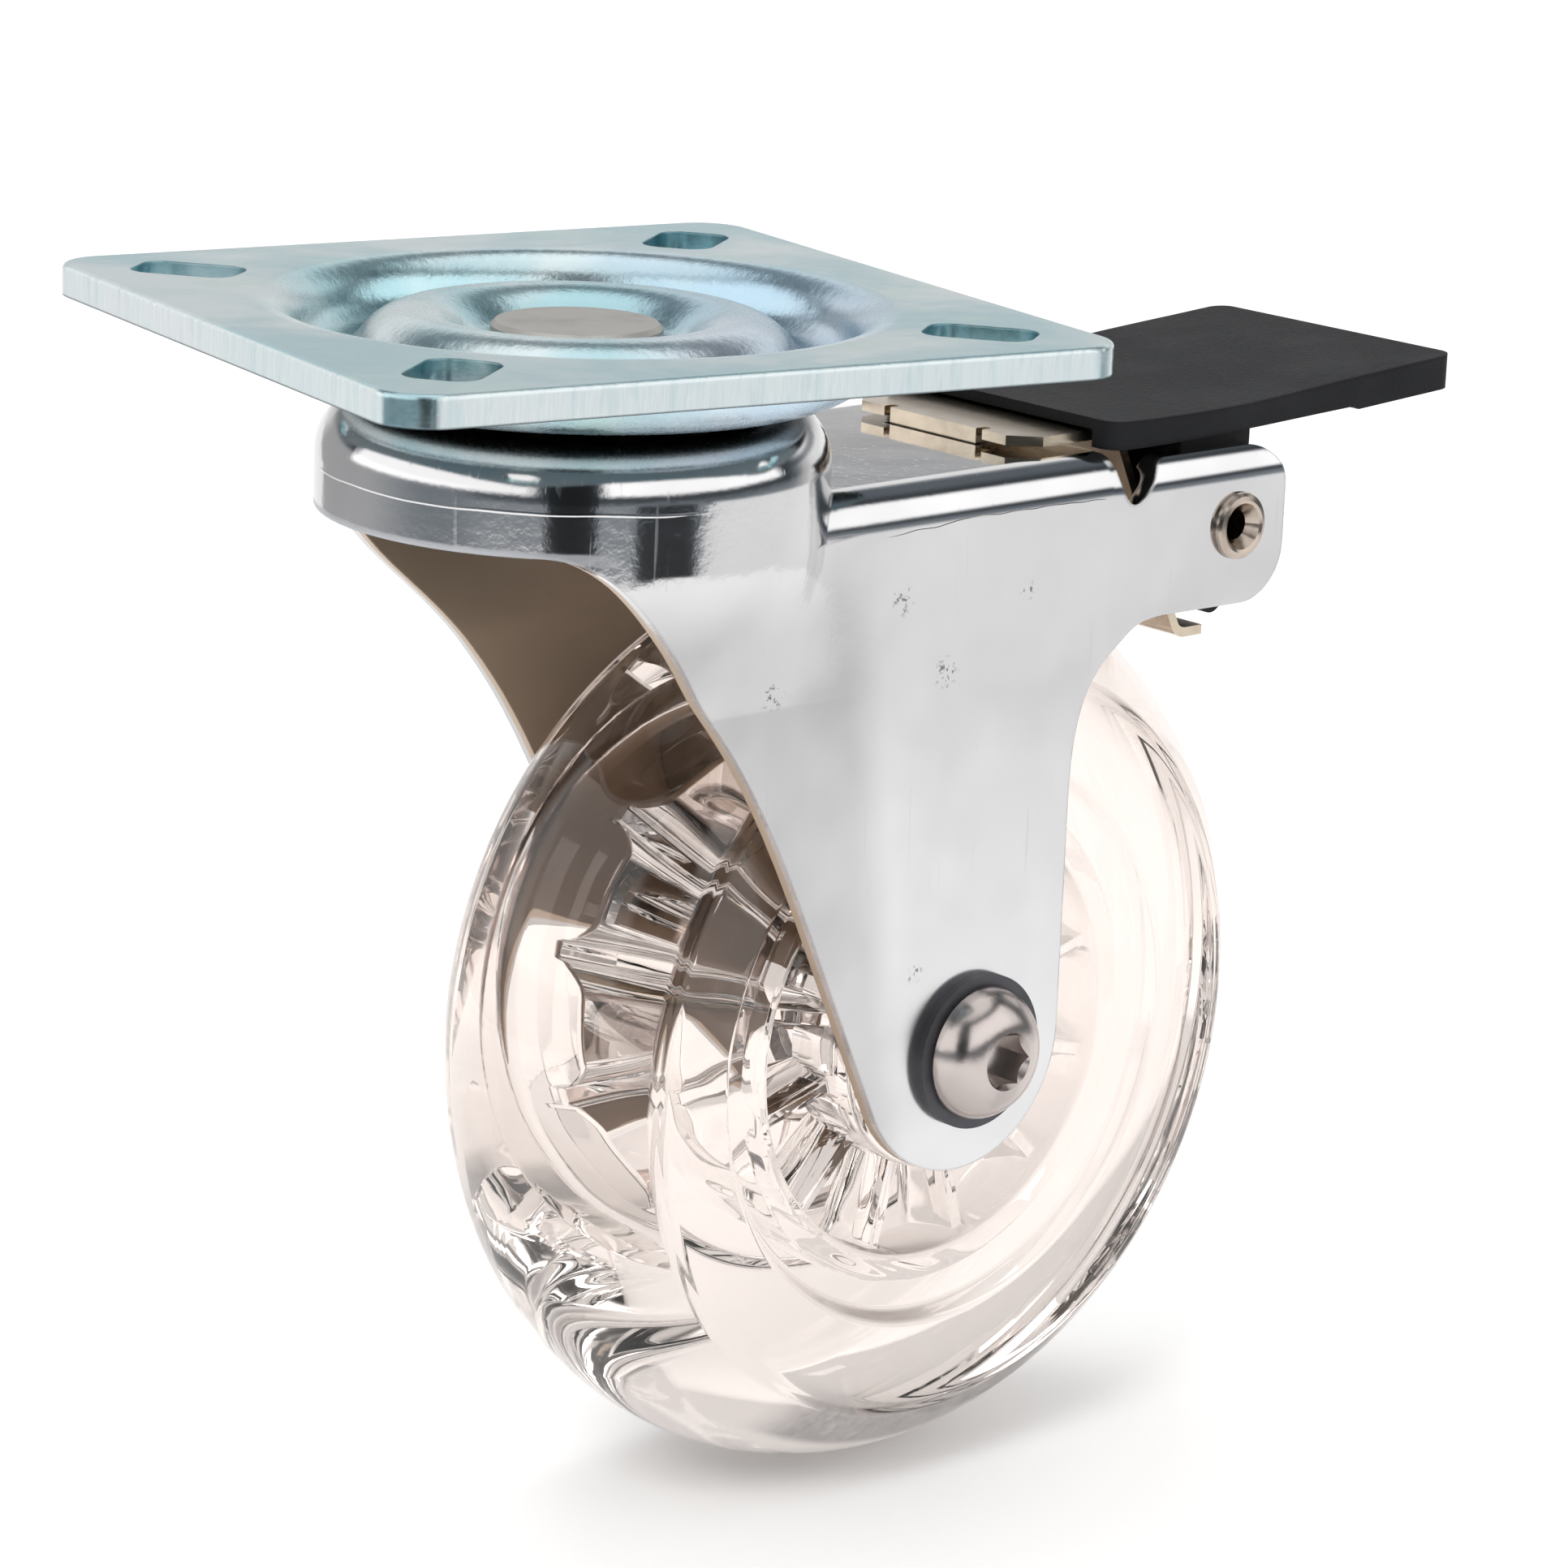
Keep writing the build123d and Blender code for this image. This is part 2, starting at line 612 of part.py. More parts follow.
def make_pedal():
    """Black moulded pedal: dished deck with side rails, pivot block and two cam feet."""
    lever_top = web_top + lever_lift + lever_sheet
    deck_low = lever_top + lever_gap
    left = pivot_x - pedal_front
    right = pivot_x + pedal_back
    run = right - left
    lift = deck_low + deck_skin
    top = [(left + run * a, lift + deck_rise * h) for a, h in (
        (0, 0), (0.199, -0.065), (0.403, 0.054), (0.649, 0.459), (0.918, 0.865), (1, 1))]
    low = [(left + run * a, lift - rail_depth * h) for a, h in (
        (1, 0.435), (0.711, 0.761), (0.697, 0.63), (0.403, 0.87), (0.184, 1), (0, 1))]
    with BuildSketch(Plane.XZ) as side:
        with BuildLine():
            Spline(*top)
            Polyline(top[-1], *low[:3])
            Spline(*low[2:])
            Line(low[-1], top[0])
        make_face()
    deck = extrude(side.sketch, pedal_half_width, both=True)
    corners = deck.edges().filter_by(Axis.Z)
    deck = fillet(corners, pedal_corner)
    hollow_half = lever_half_width + pedal_side_gap
    below = deck_low - 3.5 * rail_depth
    hollow = [(left - rail_depth, below), (left - rail_depth, deck_low), (left + 0.211 * run, deck_low),
              (left + 0.925 * run, lift - 0.11 * deck_skin), (left + 0.925 * run, below)]
    deck = deck - profile_solid(hollow, hollow_half)
    block_half = ear_inner - pedal_ear_gap
    neck_half = min(hollow_half, block_half)
    post_low = pivot_x - 0.95 * pedal_hub_radius
    post_high = pivot_x + pedal_hub_radius
    post_top = deck_low + 0.2 * deck_skin
    post = profile_solid([(post_low, post_top), (post_low, pivot_z), (post_high, pivot_z), (post_high, post_top)],
                         neck_half + pedal_post_flare)
    hub = Pos(pivot_x, 0, pivot_z) * Rot(90, 0, 0) * Cylinder(pedal_hub_radius, 2 * block_half)
    pedal = deck + post + hub
    for angle in (-42.0, -62.0):
        a = math.radians(angle)
        run = cam_reach - cam_round
        tip = Pos(pivot_x + run * math.cos(a), 0, pivot_z + run * math.sin(a))
        foot = tip * Rot(90, 0, 0) * Cylinder(cam_round, 2 * cam_half_width)
        arm = Box(run, 2 * cam_half_width, 2 * cam_round)
        arm = Pos(pivot_x, 0, pivot_z) * Rot(0, -angle, 0) * Pos(run / 2, 0, 0) * arm
        pedal = pedal + foot + arm
    bore = Rot(90, 0, 0) * Cylinder(rivet_radius + pivot_clearance, through)
    return pedal - Pos(pivot_x, 0, pivot_z) * bore


def strip_face(path, thickness, rounds):
    """Side outline of a bent strip: a path in XZ, its thickness, and the inner radius of each bend."""
    half = thickness / 2
    left = []
    right = []
    for i, point in enumerate(path):
        here = Vector(*point)
        before = (here - Vector(*path[i - 1])).normalized() if i > 0 else None
        after = (Vector(*path[i + 1]) - here).normalized() if i < len(path) - 1 else None
        first = before or after
        last = after or before
        miter = Vector(-first.Y, first.X) + Vector(-last.Y, last.X)
        miter = miter * (1 / (1 + first.dot(last)))
        left.append(here + miter * half)
        right.append(here - miter * half)
    with BuildSketch(Plane.XZ) as face:
        with BuildLine():
            Polyline(*[(p.X, p.Y) for p in left + right[::-1]], close=True)
        make_face()
        for i, radius in enumerate(rounds):
            into = Vector(*path[i + 1]) - Vector(*path[i])
            out = Vector(*path[i + 2]) - Vector(*path[i + 1])
            turn = into.X * out.Y - into.Y * out.X
            inner, outer = (left, right) if turn > 0 else (right, left)
            for spot, size in ((inner[i + 1], radius), (outer[i + 1], radius + thickness)):
                target = Vector(spot.X, spot.Y, 0)
                found = min(face.vertices(), key=lambda v, t=target: (Vector(*tuple(v)) - t).length)
                fillet(found, size)
    return face.sketch


def make_lever():
    """Nickelled brake lever: flat arm over the web, hinge tab, sloping shoe and turned-up foot."""
    mid = web_top + lever_lift + lever_sheet / 2
    start = lever_front_x
    knee = (web_end_x + lever_knee, mid)
    heel_x = pivot_x - lever_heel_offset
    heel_z = axle_z + math.sqrt((wheel_radius + shoe_clearance) ** 2 - (heel_x - axle_x) ** 2)
    toe = (heel_x + lever_foot_length, heel_z)
    side = strip_face([(start, mid), knee, (heel_x, heel_z), toe], lever_sheet, (lever_knee_radius, lever_foot_radius))
    body = extrude(side, lever_half_width, both=True)
    for side in (-1, 1):
        size = math.sqrt(2) * lever_corner
        corner = Pos(start, side * lever_half_width, mid) * Rot(0, 0, 45) * Box(size, size, 5 * lever_sheet)
        body = body - corner
        relief = Pos(start, side * (lever_tab_half + lever_tab_relief / 2), mid)
        body = body - relief * Box(3 * lever_tab_relief, lever_tab_relief, 5 * lever_sheet)
    tab_low = web_top - lever_tab_depth
    tab_mid = (tab_low + mid) / 2
    tab = Pos(start + lever_sheet / 2, 0, tab_mid) * Box(lever_sheet, 2 * lever_tab_half, mid - tab_low)
    return body + tab


save(make_top_plate(), "top_plate")
save(make_kingpin(), "kingpin")
save(make_lower_race(), "lower_race")
save(ball_set(upper_ball_diameter, upper_ball_circle, upper_ball_count, upper_ball_z), "upper_balls")
save(ball_set(lower_ball_diameter, lower_ball_circle, lower_ball_count, lower_ball_z), "lower_balls")

save(to_rest(make_fork()), "fork")
save(to_rest(on_axle(make_axle_bolt())), "axle_bolt")
save(to_rest(on_axle(make_nut())), "axle_nut")
near_washer = ring(bolt_radius + 0.05, washer_diameter / 2, outer_half, outer_half + washer_thickness)
far_washer = ring(bolt_radius + 0.05, washer_diameter / 2, -outer_half - washer_thickness, -outer_half)
save(to_rest(on_axle(near_washer)), "bolt_washer")
save(to_rest(on_axle(far_washer)), "nut_washer")
near_spacer = ring(bolt_radius + 0.05, bearing_bore / 2 + bearing_wall + 0.2, bearing_out, inner_half)
far_spacer = ring(bolt_radius + 0.05, bearing_bore / 2 + bearing_wall + 0.2, -inner_half, -bearing_out)
save(to_rest(on_axle(near_spacer)), "hub_spacer_near")
save(to_rest(on_axle(far_spacer)), "hub_spacer_far")
mid_spacer = ring(bolt_radius + 0.05, bearing_bore / 2 + bearing_wall, -bearing_in, bearing_in)
save(to_rest(on_axle(mid_spacer)), "bearing_spacer")

save(to_rest(on_axle(make_core())), "wheel_core")
save(to_rest(on_axle(make_tyre())), "tyre")
for side, word in ((1, "near"), (-1, "far")):
    outer, inner, balls, shield = bearing_parts(side)
    save(to_rest(on_axle(outer)), "bearing_outer_" + word)
    save(to_rest(on_axle(inner)), "bearing_inner_" + word)
    save(to_rest(on_axle(balls)), "bearing_balls_" + word)
    save(to_rest(on_axle(shield)), "bearing_shield_" + word)

save(to_rest(on_pivot(make_rivet())), "pivot_rivet")
save(to_rest(make_pedal()), "brake_pedal")
save(to_rest(make_lever()), "brake_lever")
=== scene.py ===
"""Looks of a swivel castor: zinc plate, chromed fork, clear wheel and toe brake, on a white floor."""
import logging
import math
from dataclasses import dataclass
from enum import Enum
from typing import Any, Sequence

import bpy
import numpy as np
from mathutils import Matrix, Vector


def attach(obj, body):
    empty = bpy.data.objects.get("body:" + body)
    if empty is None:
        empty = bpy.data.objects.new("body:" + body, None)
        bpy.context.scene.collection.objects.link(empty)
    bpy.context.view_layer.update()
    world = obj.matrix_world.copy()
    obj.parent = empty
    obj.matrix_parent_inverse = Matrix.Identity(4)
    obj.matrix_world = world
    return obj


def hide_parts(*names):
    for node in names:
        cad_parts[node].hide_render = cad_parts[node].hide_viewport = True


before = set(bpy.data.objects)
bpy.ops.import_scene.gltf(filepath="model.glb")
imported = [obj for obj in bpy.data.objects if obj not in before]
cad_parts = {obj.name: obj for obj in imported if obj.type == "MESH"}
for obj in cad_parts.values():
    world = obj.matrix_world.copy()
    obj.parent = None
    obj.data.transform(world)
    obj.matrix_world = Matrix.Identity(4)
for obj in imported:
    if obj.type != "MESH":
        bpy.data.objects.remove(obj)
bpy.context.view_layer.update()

# One millimetre in metres.
MM = 0.001
# Heading of the fork at rest, about +Z from +X.
SWIVEL = math.radians(10.8)
# The axle's x and z in the fork's own directions, in millimetres.
AXLE = (30.3, -60.4)
log = logging.getLogger("castor")

Colour = tuple[float, float, float]
Ends = tuple[float, float]


# Shader maths

class Value:
    """A node socket that takes part in Python sums: every operator adds one Math node."""

    def __init__(self, graph: "Graph", socket: Any) -> None:
        """Wrap a socket.

        Args:
            graph: the material graph that the socket belongs to.
            socket: the output socket.
        """
        self.graph = graph
        self.socket = socket

    def _math(self, operation: str, other: Any, swapped: bool = False) -> "Value":
        """Add a Math node over this value and another one, in either order."""
        pair = (other, self) if swapped else (self, other)
        return self.graph.node("ShaderNodeMath", {"operation": operation}, {0: pair[0], 1: pair[1]})

    def __add__(self, other: Any) -> "Value":
        """Sum."""
        return self._math("ADD", other)

    def __radd__(self, other: Any) -> "Value":
        """Sum, reflected."""
        return self._math("ADD", other, True)

    def __sub__(self, other: Any) -> "Value":
        """Difference."""
        return self._math("SUBTRACT", other)

    def __rsub__(self, other: Any) -> "Value":
        """Difference, reflected."""
        return self._math("SUBTRACT", other, True)

    def __mul__(self, other: Any) -> "Value":
        """Product."""
        return self._math("MULTIPLY", other)

    def __rmul__(self, other: Any) -> "Value":
        """Product, reflected."""
        return self._math("MULTIPLY", other, True)

    def __truediv__(self, other: Any) -> "Value":
        """Quotient."""
        return self._math("DIVIDE", other)

    def __pow__(self, other: Any) -> "Value":
        """Power."""
        return self._math("POWER", other)

    def __abs__(self) -> "Value":
        """Size without sign."""
        return self.graph.node("ShaderNodeMath", {"operation": "ABSOLUTE"}, {0: self})

    def band(self, low: float, high: float, soft: float) -> "Value":
        """Window over a span of values.

        Args:
            low: where the span starts.
            high: where the span ends.
            soft: width of the smooth step at each end.

        Returns:
            1 inside the span and 0 outside.
        """
        return self.step(low - soft / 2, low + soft / 2) * self.step(high + soft / 2, high - soft / 2)

    def angle(self, other: "Value") -> "Value":
        """Angle of this value over another one, in degrees."""
        return self._math("ARCTAN2", other) * (180.0 / math.pi)

    def most(self, other: Any) -> "Value":
        """The larger of two values."""
        return self._math("MAXIMUM", other)

    def step(self, low: float, high: float) -> "Value":
        """Smooth step from 0 at low to 1 at high.

        Args:
            low: value where the step starts.
            high: value where the step ends; below low it falls instead.

        Returns:
            The stepped value, between 0 and 1.
        """
        ends = (low, high) if high > low else (high, low)
        rise = self.graph.node("ShaderNodeMapRange", {"interpolation_type": "SMOOTHSTEP"},
                               {"Value": self, "From Min": ends[0], "From Max": ends[1]})
        return rise if high > low else 1 - rise


class Graph:
    """One material's node graph."""

    def __init__(self, name: str) -> None:
        """Start an empty material with that name."""
        self.material = bpy.data.materials.new(name)
        self.material.use_nodes = True
        self.tree = self.material.node_tree
        self.tree.nodes.clear()

    def node(self, kind: str, settings: dict[str, Any] | None = None, inputs: dict[Any, Any] | None = None,
             out: Any = 0) -> Value:
        """Add a node.

        Args:
            kind: the node's type name.
            settings: properties set before the sockets.
            inputs: value or Value for each input, by name or number.
            out: the output that is returned, by name or number.

        Returns:
            The chosen output.
        """
        made = self.tree.nodes.new(kind)
        for key, value in (settings or {}).items():
            setattr(made, key, value)
        for key, value in (inputs or {}).items():
            if isinstance(value, Value):
                self.tree.links.new(value.socket, made.inputs[key])
            elif isinstance(value, tuple) and made.inputs[key].type == "RGBA":
                made.inputs[key].default_value = (*value, 1.0)
            else:
                made.inputs[key].default_value = value
        return Value(self, made.outputs[out])

    def place(self) -> Value:
        """Row-frame position in metres."""
        return self.node("ShaderNodeTexCoord", out="Object")

    def local(self, origin: Sequence[float], turn: float = SWIVEL) -> Value:
        """Position in metres about an origin in the fork's own directions.

        Args:
            origin: origin in millimetres, row frame.
            turn: angle of the local X about +Z, in radians.

        Returns:
            The turned position.
        """
        middle = tuple(v * MM for v in origin)
        return self.node("ShaderNodeMapping", {"vector_type": "TEXTURE"},
                         {"Vector": self.place(), "Location": middle, "Rotation": (0.0, 0.0, turn)})

    def axes(self, vector: Value) -> tuple[Value, Value, Value]:
        """Three coordinates in millimetres of a vector in metres."""
        x, y, z = (self.node("ShaderNodeSeparateXYZ", inputs={0: vector}, out=name) * (1.0 / MM) for name in "XYZ")
        return x, y, z

    def noise(self, size: float, detail: float = 3.0, rough: float = 0.5, vector: Value | None = None,
              squeeze: Sequence[float] | None = None, distortion: float = 0.0) -> Value:
        """Fractal noise.

        Args:
            size: size of its features in millimetres.
            detail: octaves.
            rough: share kept by each octave.
            vector: position to read; the row frame's by default.
            squeeze: scale of each axis before the noise.
            distortion: how far the pattern is bent.

        Returns:
            The noise, about 0 to 1.
        """
        vector = vector or self.place()
        if squeeze:
            vector = self.node("ShaderNodeMapping", inputs={"Vector": vector, "Scale": tuple(squeeze)})
        return self.node("ShaderNodeTexNoise", inputs={"Vector": vector, "Scale": 1.0 / MM / size, "Detail": detail,
                                                       "Roughness": rough, "Distortion": distortion})

    def blend(self, share: Any, first: Any, second: Any) -> Value:
        """Mix two colours: the first where the share is 0, the second where it is 1."""
        return self.node("ShaderNodeMix", {"data_type": "RGBA"}, {"Factor": share, 6: first, 7: second}, out=2)

    def mix(self, share: Any, first: Any, second: Any) -> Value:
        """Mix two numbers: the first where the share is 0, the second where it is 1."""
        return self.node("ShaderNodeMix", {"data_type": "FLOAT"}, {"Factor": share, 2: first, 3: second})

    def bump(self, height: Value, depth: float, strength: float = 1.0, normal: Value | None = None) -> Value:
        """Bend the normal by a height.

        Args:
            height: the height pattern, 0 to 1.
            depth: depth of the pattern in millimetres.
            strength: share of the effect.
            normal: normal that is bent; the surface's own by default.

        Returns:
            The bent normal.
        """
        wires = {"Height": height, "Distance": depth * MM, "Strength": strength}
        if normal is not None:
            wires["Normal"] = normal
        return self.node("ShaderNodeBump", inputs=wires)

    def soft_edges(self, radius: float) -> Value:
        """Normal of edges rounded by a radius in millimetres."""
        return self.node("ShaderNodeBevel", {"samples": 2}, {"Radius": radius * MM})

    def finish(self, **sockets: Any) -> bpy.types.Material:
        """Close the graph with a Principled shader.

        Args:
            sockets: value or Value for each input, with _ for a space.

        Returns:
            The material.
        """
        wires = {key.replace("_", " "): value for key, value in sockets.items()}
        shader = self.node("ShaderNodeBsdfPrincipled", inputs=wires)
        made = self.tree.nodes.new("ShaderNodeOutputMaterial")
        self.tree.links.new(shader.socket, made.inputs["Surface"])
        return self.material


# Finishes

@dataclass(frozen=True)
class ZincFinish:
    """Blue-white zinc plating on pressed steel, with a teal, green and violet sheen, and painted shade on its
    underside.

    Sizes are in millimetres, and a pair holds the two ends of a smooth step.
    """

    pale: Colour = (0.65, 0.74, 0.76)
    teal: Colour = (0.37, 0.58, 0.63)
    green: Colour = (0.50, 0.70, 0.62)
    violet: Colour = (0.50, 0.60, 0.78)
    edge: Colour = (0.76, 0.80, 0.81)
    # Colour of the painted shade on the plate's underside.
    shade: Colour = (0.05, 0.075, 0.09)
    under_height: Ends = (-2.2, -2.4)
    under_radius: Ends = (23.0, 24.0)
    dish_radius: Ends = (25.0, 22.5)
    plate_edge: Ends = (29.75, 29.95)
    violet_side: Ends = (2.0, 16.0)
    cloud_size: float = 22.0
    patch_size: float = 9.0
    peel_size: float = 0.75
    coarse_size: float = 2.6
    streak_size: float = 0.8
    relief: float = 0.055
    relief_share: float = 0.6
    corner: float = 0.25

    def make(self) -> bpy.types.Material:
        """Build the material."""
        g = Graph("blue_zinc")
        x, y, z = g.axes(g.place())
        radius = (x * x + y * y) ** 0.5
        # Painted shade: past the dish, the plate's underside is darkened nearly to black.
        underside_shade = z.step(*self.under_height) * radius.step(*self.under_radius)
        drawn = radius.step(*self.dish_radius)
        rim = abs(x).most(abs(y)).step(*self.plate_edge)
        cloud = g.noise(self.cloud_size, 3.0, 0.55, distortion=0.6)
        patch = g.noise(self.patch_size, 2.0, 0.5)
        streak = g.noise(self.streak_size, 2.0, 0.6, squeeze=(1.0, 1.0, 0.12))
        peel = g.noise(self.peel_size, 3.0, 0.62)
        coarse = g.noise(self.coarse_size, 1.0, 0.5)
        side = ((x * 0.9 - y * 0.4) + radius * 0.2).step(*self.violet_side)
        colour = g.blend(cloud.step(0.38, 0.62), self.teal, self.pale)
        colour = g.blend(patch.step(0.55, 0.75) * 0.5, colour, self.green)
        colour = g.blend(side * drawn * 0.45, colour, self.violet)
        colour = g.blend(rim * 0.8, colour, self.edge)
        colour = g.blend(rim * streak.step(0.5, 0.7) * 0.25, colour, self.teal)
        colour = g.blend(underside_shade * 0.9, colour, self.shade)
        rough = 0.17 + drawn * 0.04 + peel * 0.12 + rim * 0.12
        height = peel * (0.40 + drawn * 0.80) + coarse * 0.5 + streak * rim * 4.0
        return g.finish(Base_Color=colour, Metallic=1 - rim * 0.55, Roughness=rough,
                        Normal=g.bump(height, self.relief, self.relief_share, g.soft_edges(self.corner)))


@dataclass(frozen=True)
class ChromeFinish:
    """Bright chrome on pressed sheet: mirror on the crown, satin on the legs, thin plating inside, with painted shade
    and painted light in places.

    Sizes are in millimetres in the fork's own directions, and a pair holds the two ends of a smooth step.
    Each scuff has its x, its z and its radius.
    """

    bright: Colour = (0.665, 0.665, 0.675)
    # Colour of the random dull mottle, also used for painted shade on the legs.
    dull_and_shade: Colour = (0.30, 0.295, 0.30)
    inner: Colour = (0.47, 0.355, 0.255)
    # Grease in the race, and painted shade on the cup's upper shoulder.
    grease: Colour = (0.020, 0.019, 0.008)
    # Colour of the painted light band along the cup's bottom lip.
    lip_light_band: Colour = (0.60, 0.61, 0.64)
    worn: Colour = (0.16, 0.13, 0.11)
    crown_square: float = 351.6
    crown_inside: float = 18.95
    leg_inside: float = 14.3
    crown_to_leg: Ends = (-17.0, -29.5)
    below_crown: Ends = (-15.7, -16.5)
    near_face: Ends = (-14.0, -14.8)
    leg_height: Ends = (-16.0, -30.0)
    drawn_foot: Ends = (-30.0, -20.0)
    drawn_top: Ends = (-8.0, -12.5)
    drawn_front: Ends = (30.0, 10.0)
    crease_drop: float = 12.3
    crease_half: float = 0.16
    crease_front: Ends = (-2.0, -8.0)
    line_drop: float = 17.2
    line_half: float = 0.07
    line_reach: Ends = (20.0, 41.0)
    lip_top: Ends = (-15.0, -15.3)
    lip_foot: Ends = (-16.2, -15.9)
    lip_front: Ends = (-9.0, -12.0)
    race_radius: Ends = (19.0, 16.8)
    race_height: Ends = (-10.4, -8.6)
    bend_at: float = 17.5
    bend_lean: float = 0.12
    bend_width: Ends = (-1.5, -6.5)
    bend_height: Ends = (-16.0, -24.0)
    relief: float = 0.03
    relief_share: float = 0.4
    corner: float = 0.3
    scuffs: tuple[tuple[float, float, float], ...] = ((20.6, -22.7, 1.5), (25.5, -29.0, 1.6), (34.0, -23.5, 1.0),
                                                      (23.6, -53.0, 1.0), (7.5, -28.5, 1.5))

    def inside(self, g: Graph, x: Value, y: Value, z: Value) -> Value:
        """Share of the sheet's inner face.

        Args:
            g: the material graph.
            x: coordinate along the wheel.
            y: coordinate along the axle.
            z: height.

        Returns:
            1 where |y| is under the sheet's inner side, sqrt(r^2 - x^2) at the crown and a constant at the legs.
        """
        radius = (x * x + y * y) ** 0.5
        arc = (self.crown_square - x * x).most(0.0) ** 0.5
        sheet = g.mix(z.step(*self.crown_to_leg), arc.most(self.leg_inside), self.leg_inside)
        front = x.step(-2.0, 2.0).most((self.crown_inside - radius).step(-0.1, 0.1))
        return (sheet - abs(y)).step(-0.2, 0.2) * z.step(*self.below_crown) * front

    def scuffed(self, g: Graph, local: Value, x: Value, z: Value) -> Value:
        """Share of the scuffs.

        Args:
            g: the material graph.
            local: position in the fork's own directions.
            x: its coordinate along the wheel.
            z: its height.

        Returns:
            Flecks of a noise round each place, fading from a third of the radius to the whole.
        """
        mark = g.noise(0.45, 2.0, 0.7, vector=local).step(0.56, 0.66)
        share = None
        for spot_x, spot_z, size in self.scuffs:
            away = ((x - spot_x) * (x - spot_x) + (z - spot_z) * (z - spot_z)) ** 0.5
            here = away.step(size, size * 0.35)
            share = here if share is None else share.most(here)
        return share * mark

    def make(self) -> bpy.types.Material:
        """Build the material."""
        g = Graph("chrome_sheet")
        local = g.local((0.0, 0.0, 0.0))
        x, y, z = g.axes(local)
        inside = self.inside(g, x, y, z)
        near = y.step(*self.near_face)
        low = z.step(*self.leg_height)
        cloud = g.noise(14.0, 2.0, 0.55)
        mottle = g.noise(0.8, 2.0, 0.6)
        wide = g.noise(5.0, 1.0, 0.5)
        scratch = g.noise(0.5, 1.0, 0.7, vector=local, squeeze=(1.0, 1.0, 0.03)).step(0.66, 0.76)
        drawn = z.step(*self.drawn_foot) * z.step(*self.drawn_top) * x.step(*self.drawn_front)
        crease = z + self.crease_drop + (cloud - 0.5) * 0.9
        crease = (1 - abs(crease) / self.crease_half).step(0.0, 1.0) * x.step(*self.crease_front)
        line = z + self.line_drop + (wide - 0.5) * 1.2
        line = (1 - abs(line) / self.line_half).step(0.0, 1.0) * x.band(*self.line_reach, 4.0) * near
        # Painted light: a bluish-grey, rougher band along the cup's bottom lip stands for the light caught on its
        # rounded edge.
        lip_light_band = z.step(*self.lip_top) * z.step(*self.lip_foot) * x.step(*self.lip_front)
        # Grease and painted shade: the race groove and the cup's upper shoulder under the plate are darkened nearly
        # to black, the shoulder as a painted dark reflection.
        race_grease_and_shade = ((x * x + y * y) ** 0.5).step(*self.race_radius) * z.step(*self.race_height)
        scuff = self.scuffed(g, local, x, z) * near
        # Painted shade: from below the crown down, the legs are darkened on their part nearest the kingpin, a painted
        # darker reflection; the rest of the dull share is random mottle.
        bend_shade = (x - self.bend_at + z * self.bend_lean).step(*self.bend_width) * z.step(*self.bend_height)
        dull_and_shade = cloud.step(0.35, 0.65) * 0.13 + wide.step(0.4, 0.7) * 0.05 + bend_shade * 0.38
        colour = g.blend(dull_and_shade, self.bright, self.dull_and_shade)
        colour = g.blend(inside * 0.92, colour, self.inner)
        colour = g.blend(lip_light_band, colour, self.lip_light_band)
        colour = g.blend((scuff * 0.75).most(line * 0.6), colour, self.worn)
        colour = g.blend(race_grease_and_shade * 0.95, colour, self.grease)
        rough = 0.06 + drawn * 0.05 + low * 0.10 + low * cloud * 0.08 + scratch * 0.10
        rough = rough + inside * 0.26 + lip_light_band * 0.25 + scuff * 0.3 + race_grease_and_shade * 0.2
        height = line * 0.8 + mottle * (0.08 + drawn * 0.9) + wide * (0.8 + drawn * 1.2)
        height = height + scratch * 0.2 + crease * 1.1 + inside * mottle * 0.5
        return g.finish(Base_Color=colour, Metallic=1 - inside * 0.6, Roughness=rough,
                        Normal=g.bump(height, self.relief, self.relief_share, g.soft_edges(self.corner)))


class Steel(Enum):
    """Plain metal finishes: name, colour, roughness and grain depth in millimetres."""

    NICKEL = ("warm_nickel", (0.66, 0.57, 0.45), 0.14, 0.010)
    RIVET = ("rivet_nickel", (0.45, 0.385, 0.33), 0.15, 0.010)
    BOLT = ("bolt_nickel", (0.52, 0.47, 0.45), 0.15, 0.008)
    GREASED = ("greased_steel", (0.035, 0.033, 0.015), 0.30, 0.008)
    PIN = ("pin_steel", (0.50, 0.49, 0.46), 0.40, 0.030)
    DARK = ("dark_steel", (0.10, 0.10, 0.11), 0.45, 0.020)
    BEARING = ("ground_steel", (0.62, 0.63, 0.65), 0.18, 0.008)


@dataclass(frozen=True)
class SteelFinish:
    """One of the plain metals, with worn patches and a fine grain. Sizes in millimetres."""

    kind: Steel
    cloud_size: float = 3.5
    grain_size: float = 0.35
    wear: float = 0.72

    def make(self) -> bpy.types.Material:
        """Build the material."""
        name, tint, rough, depth = self.kind.value
        g = Graph(name)
        cloud = g.noise(self.cloud_size, 2.0, 0.55)
        grain = g.noise(self.grain_size, 2.0, 0.6)
        worn = tuple(c * self.wear for c in tint)
        colour = g.blend(cloud.step(0.45, 0.75) * 0.6, tint, worn)
        return g.finish(Base_Color=colour, Metallic=1.0, Roughness=rough + cloud * 0.10 + grain * 0.05,
                        Normal=g.bump(grain, depth, 0.5))


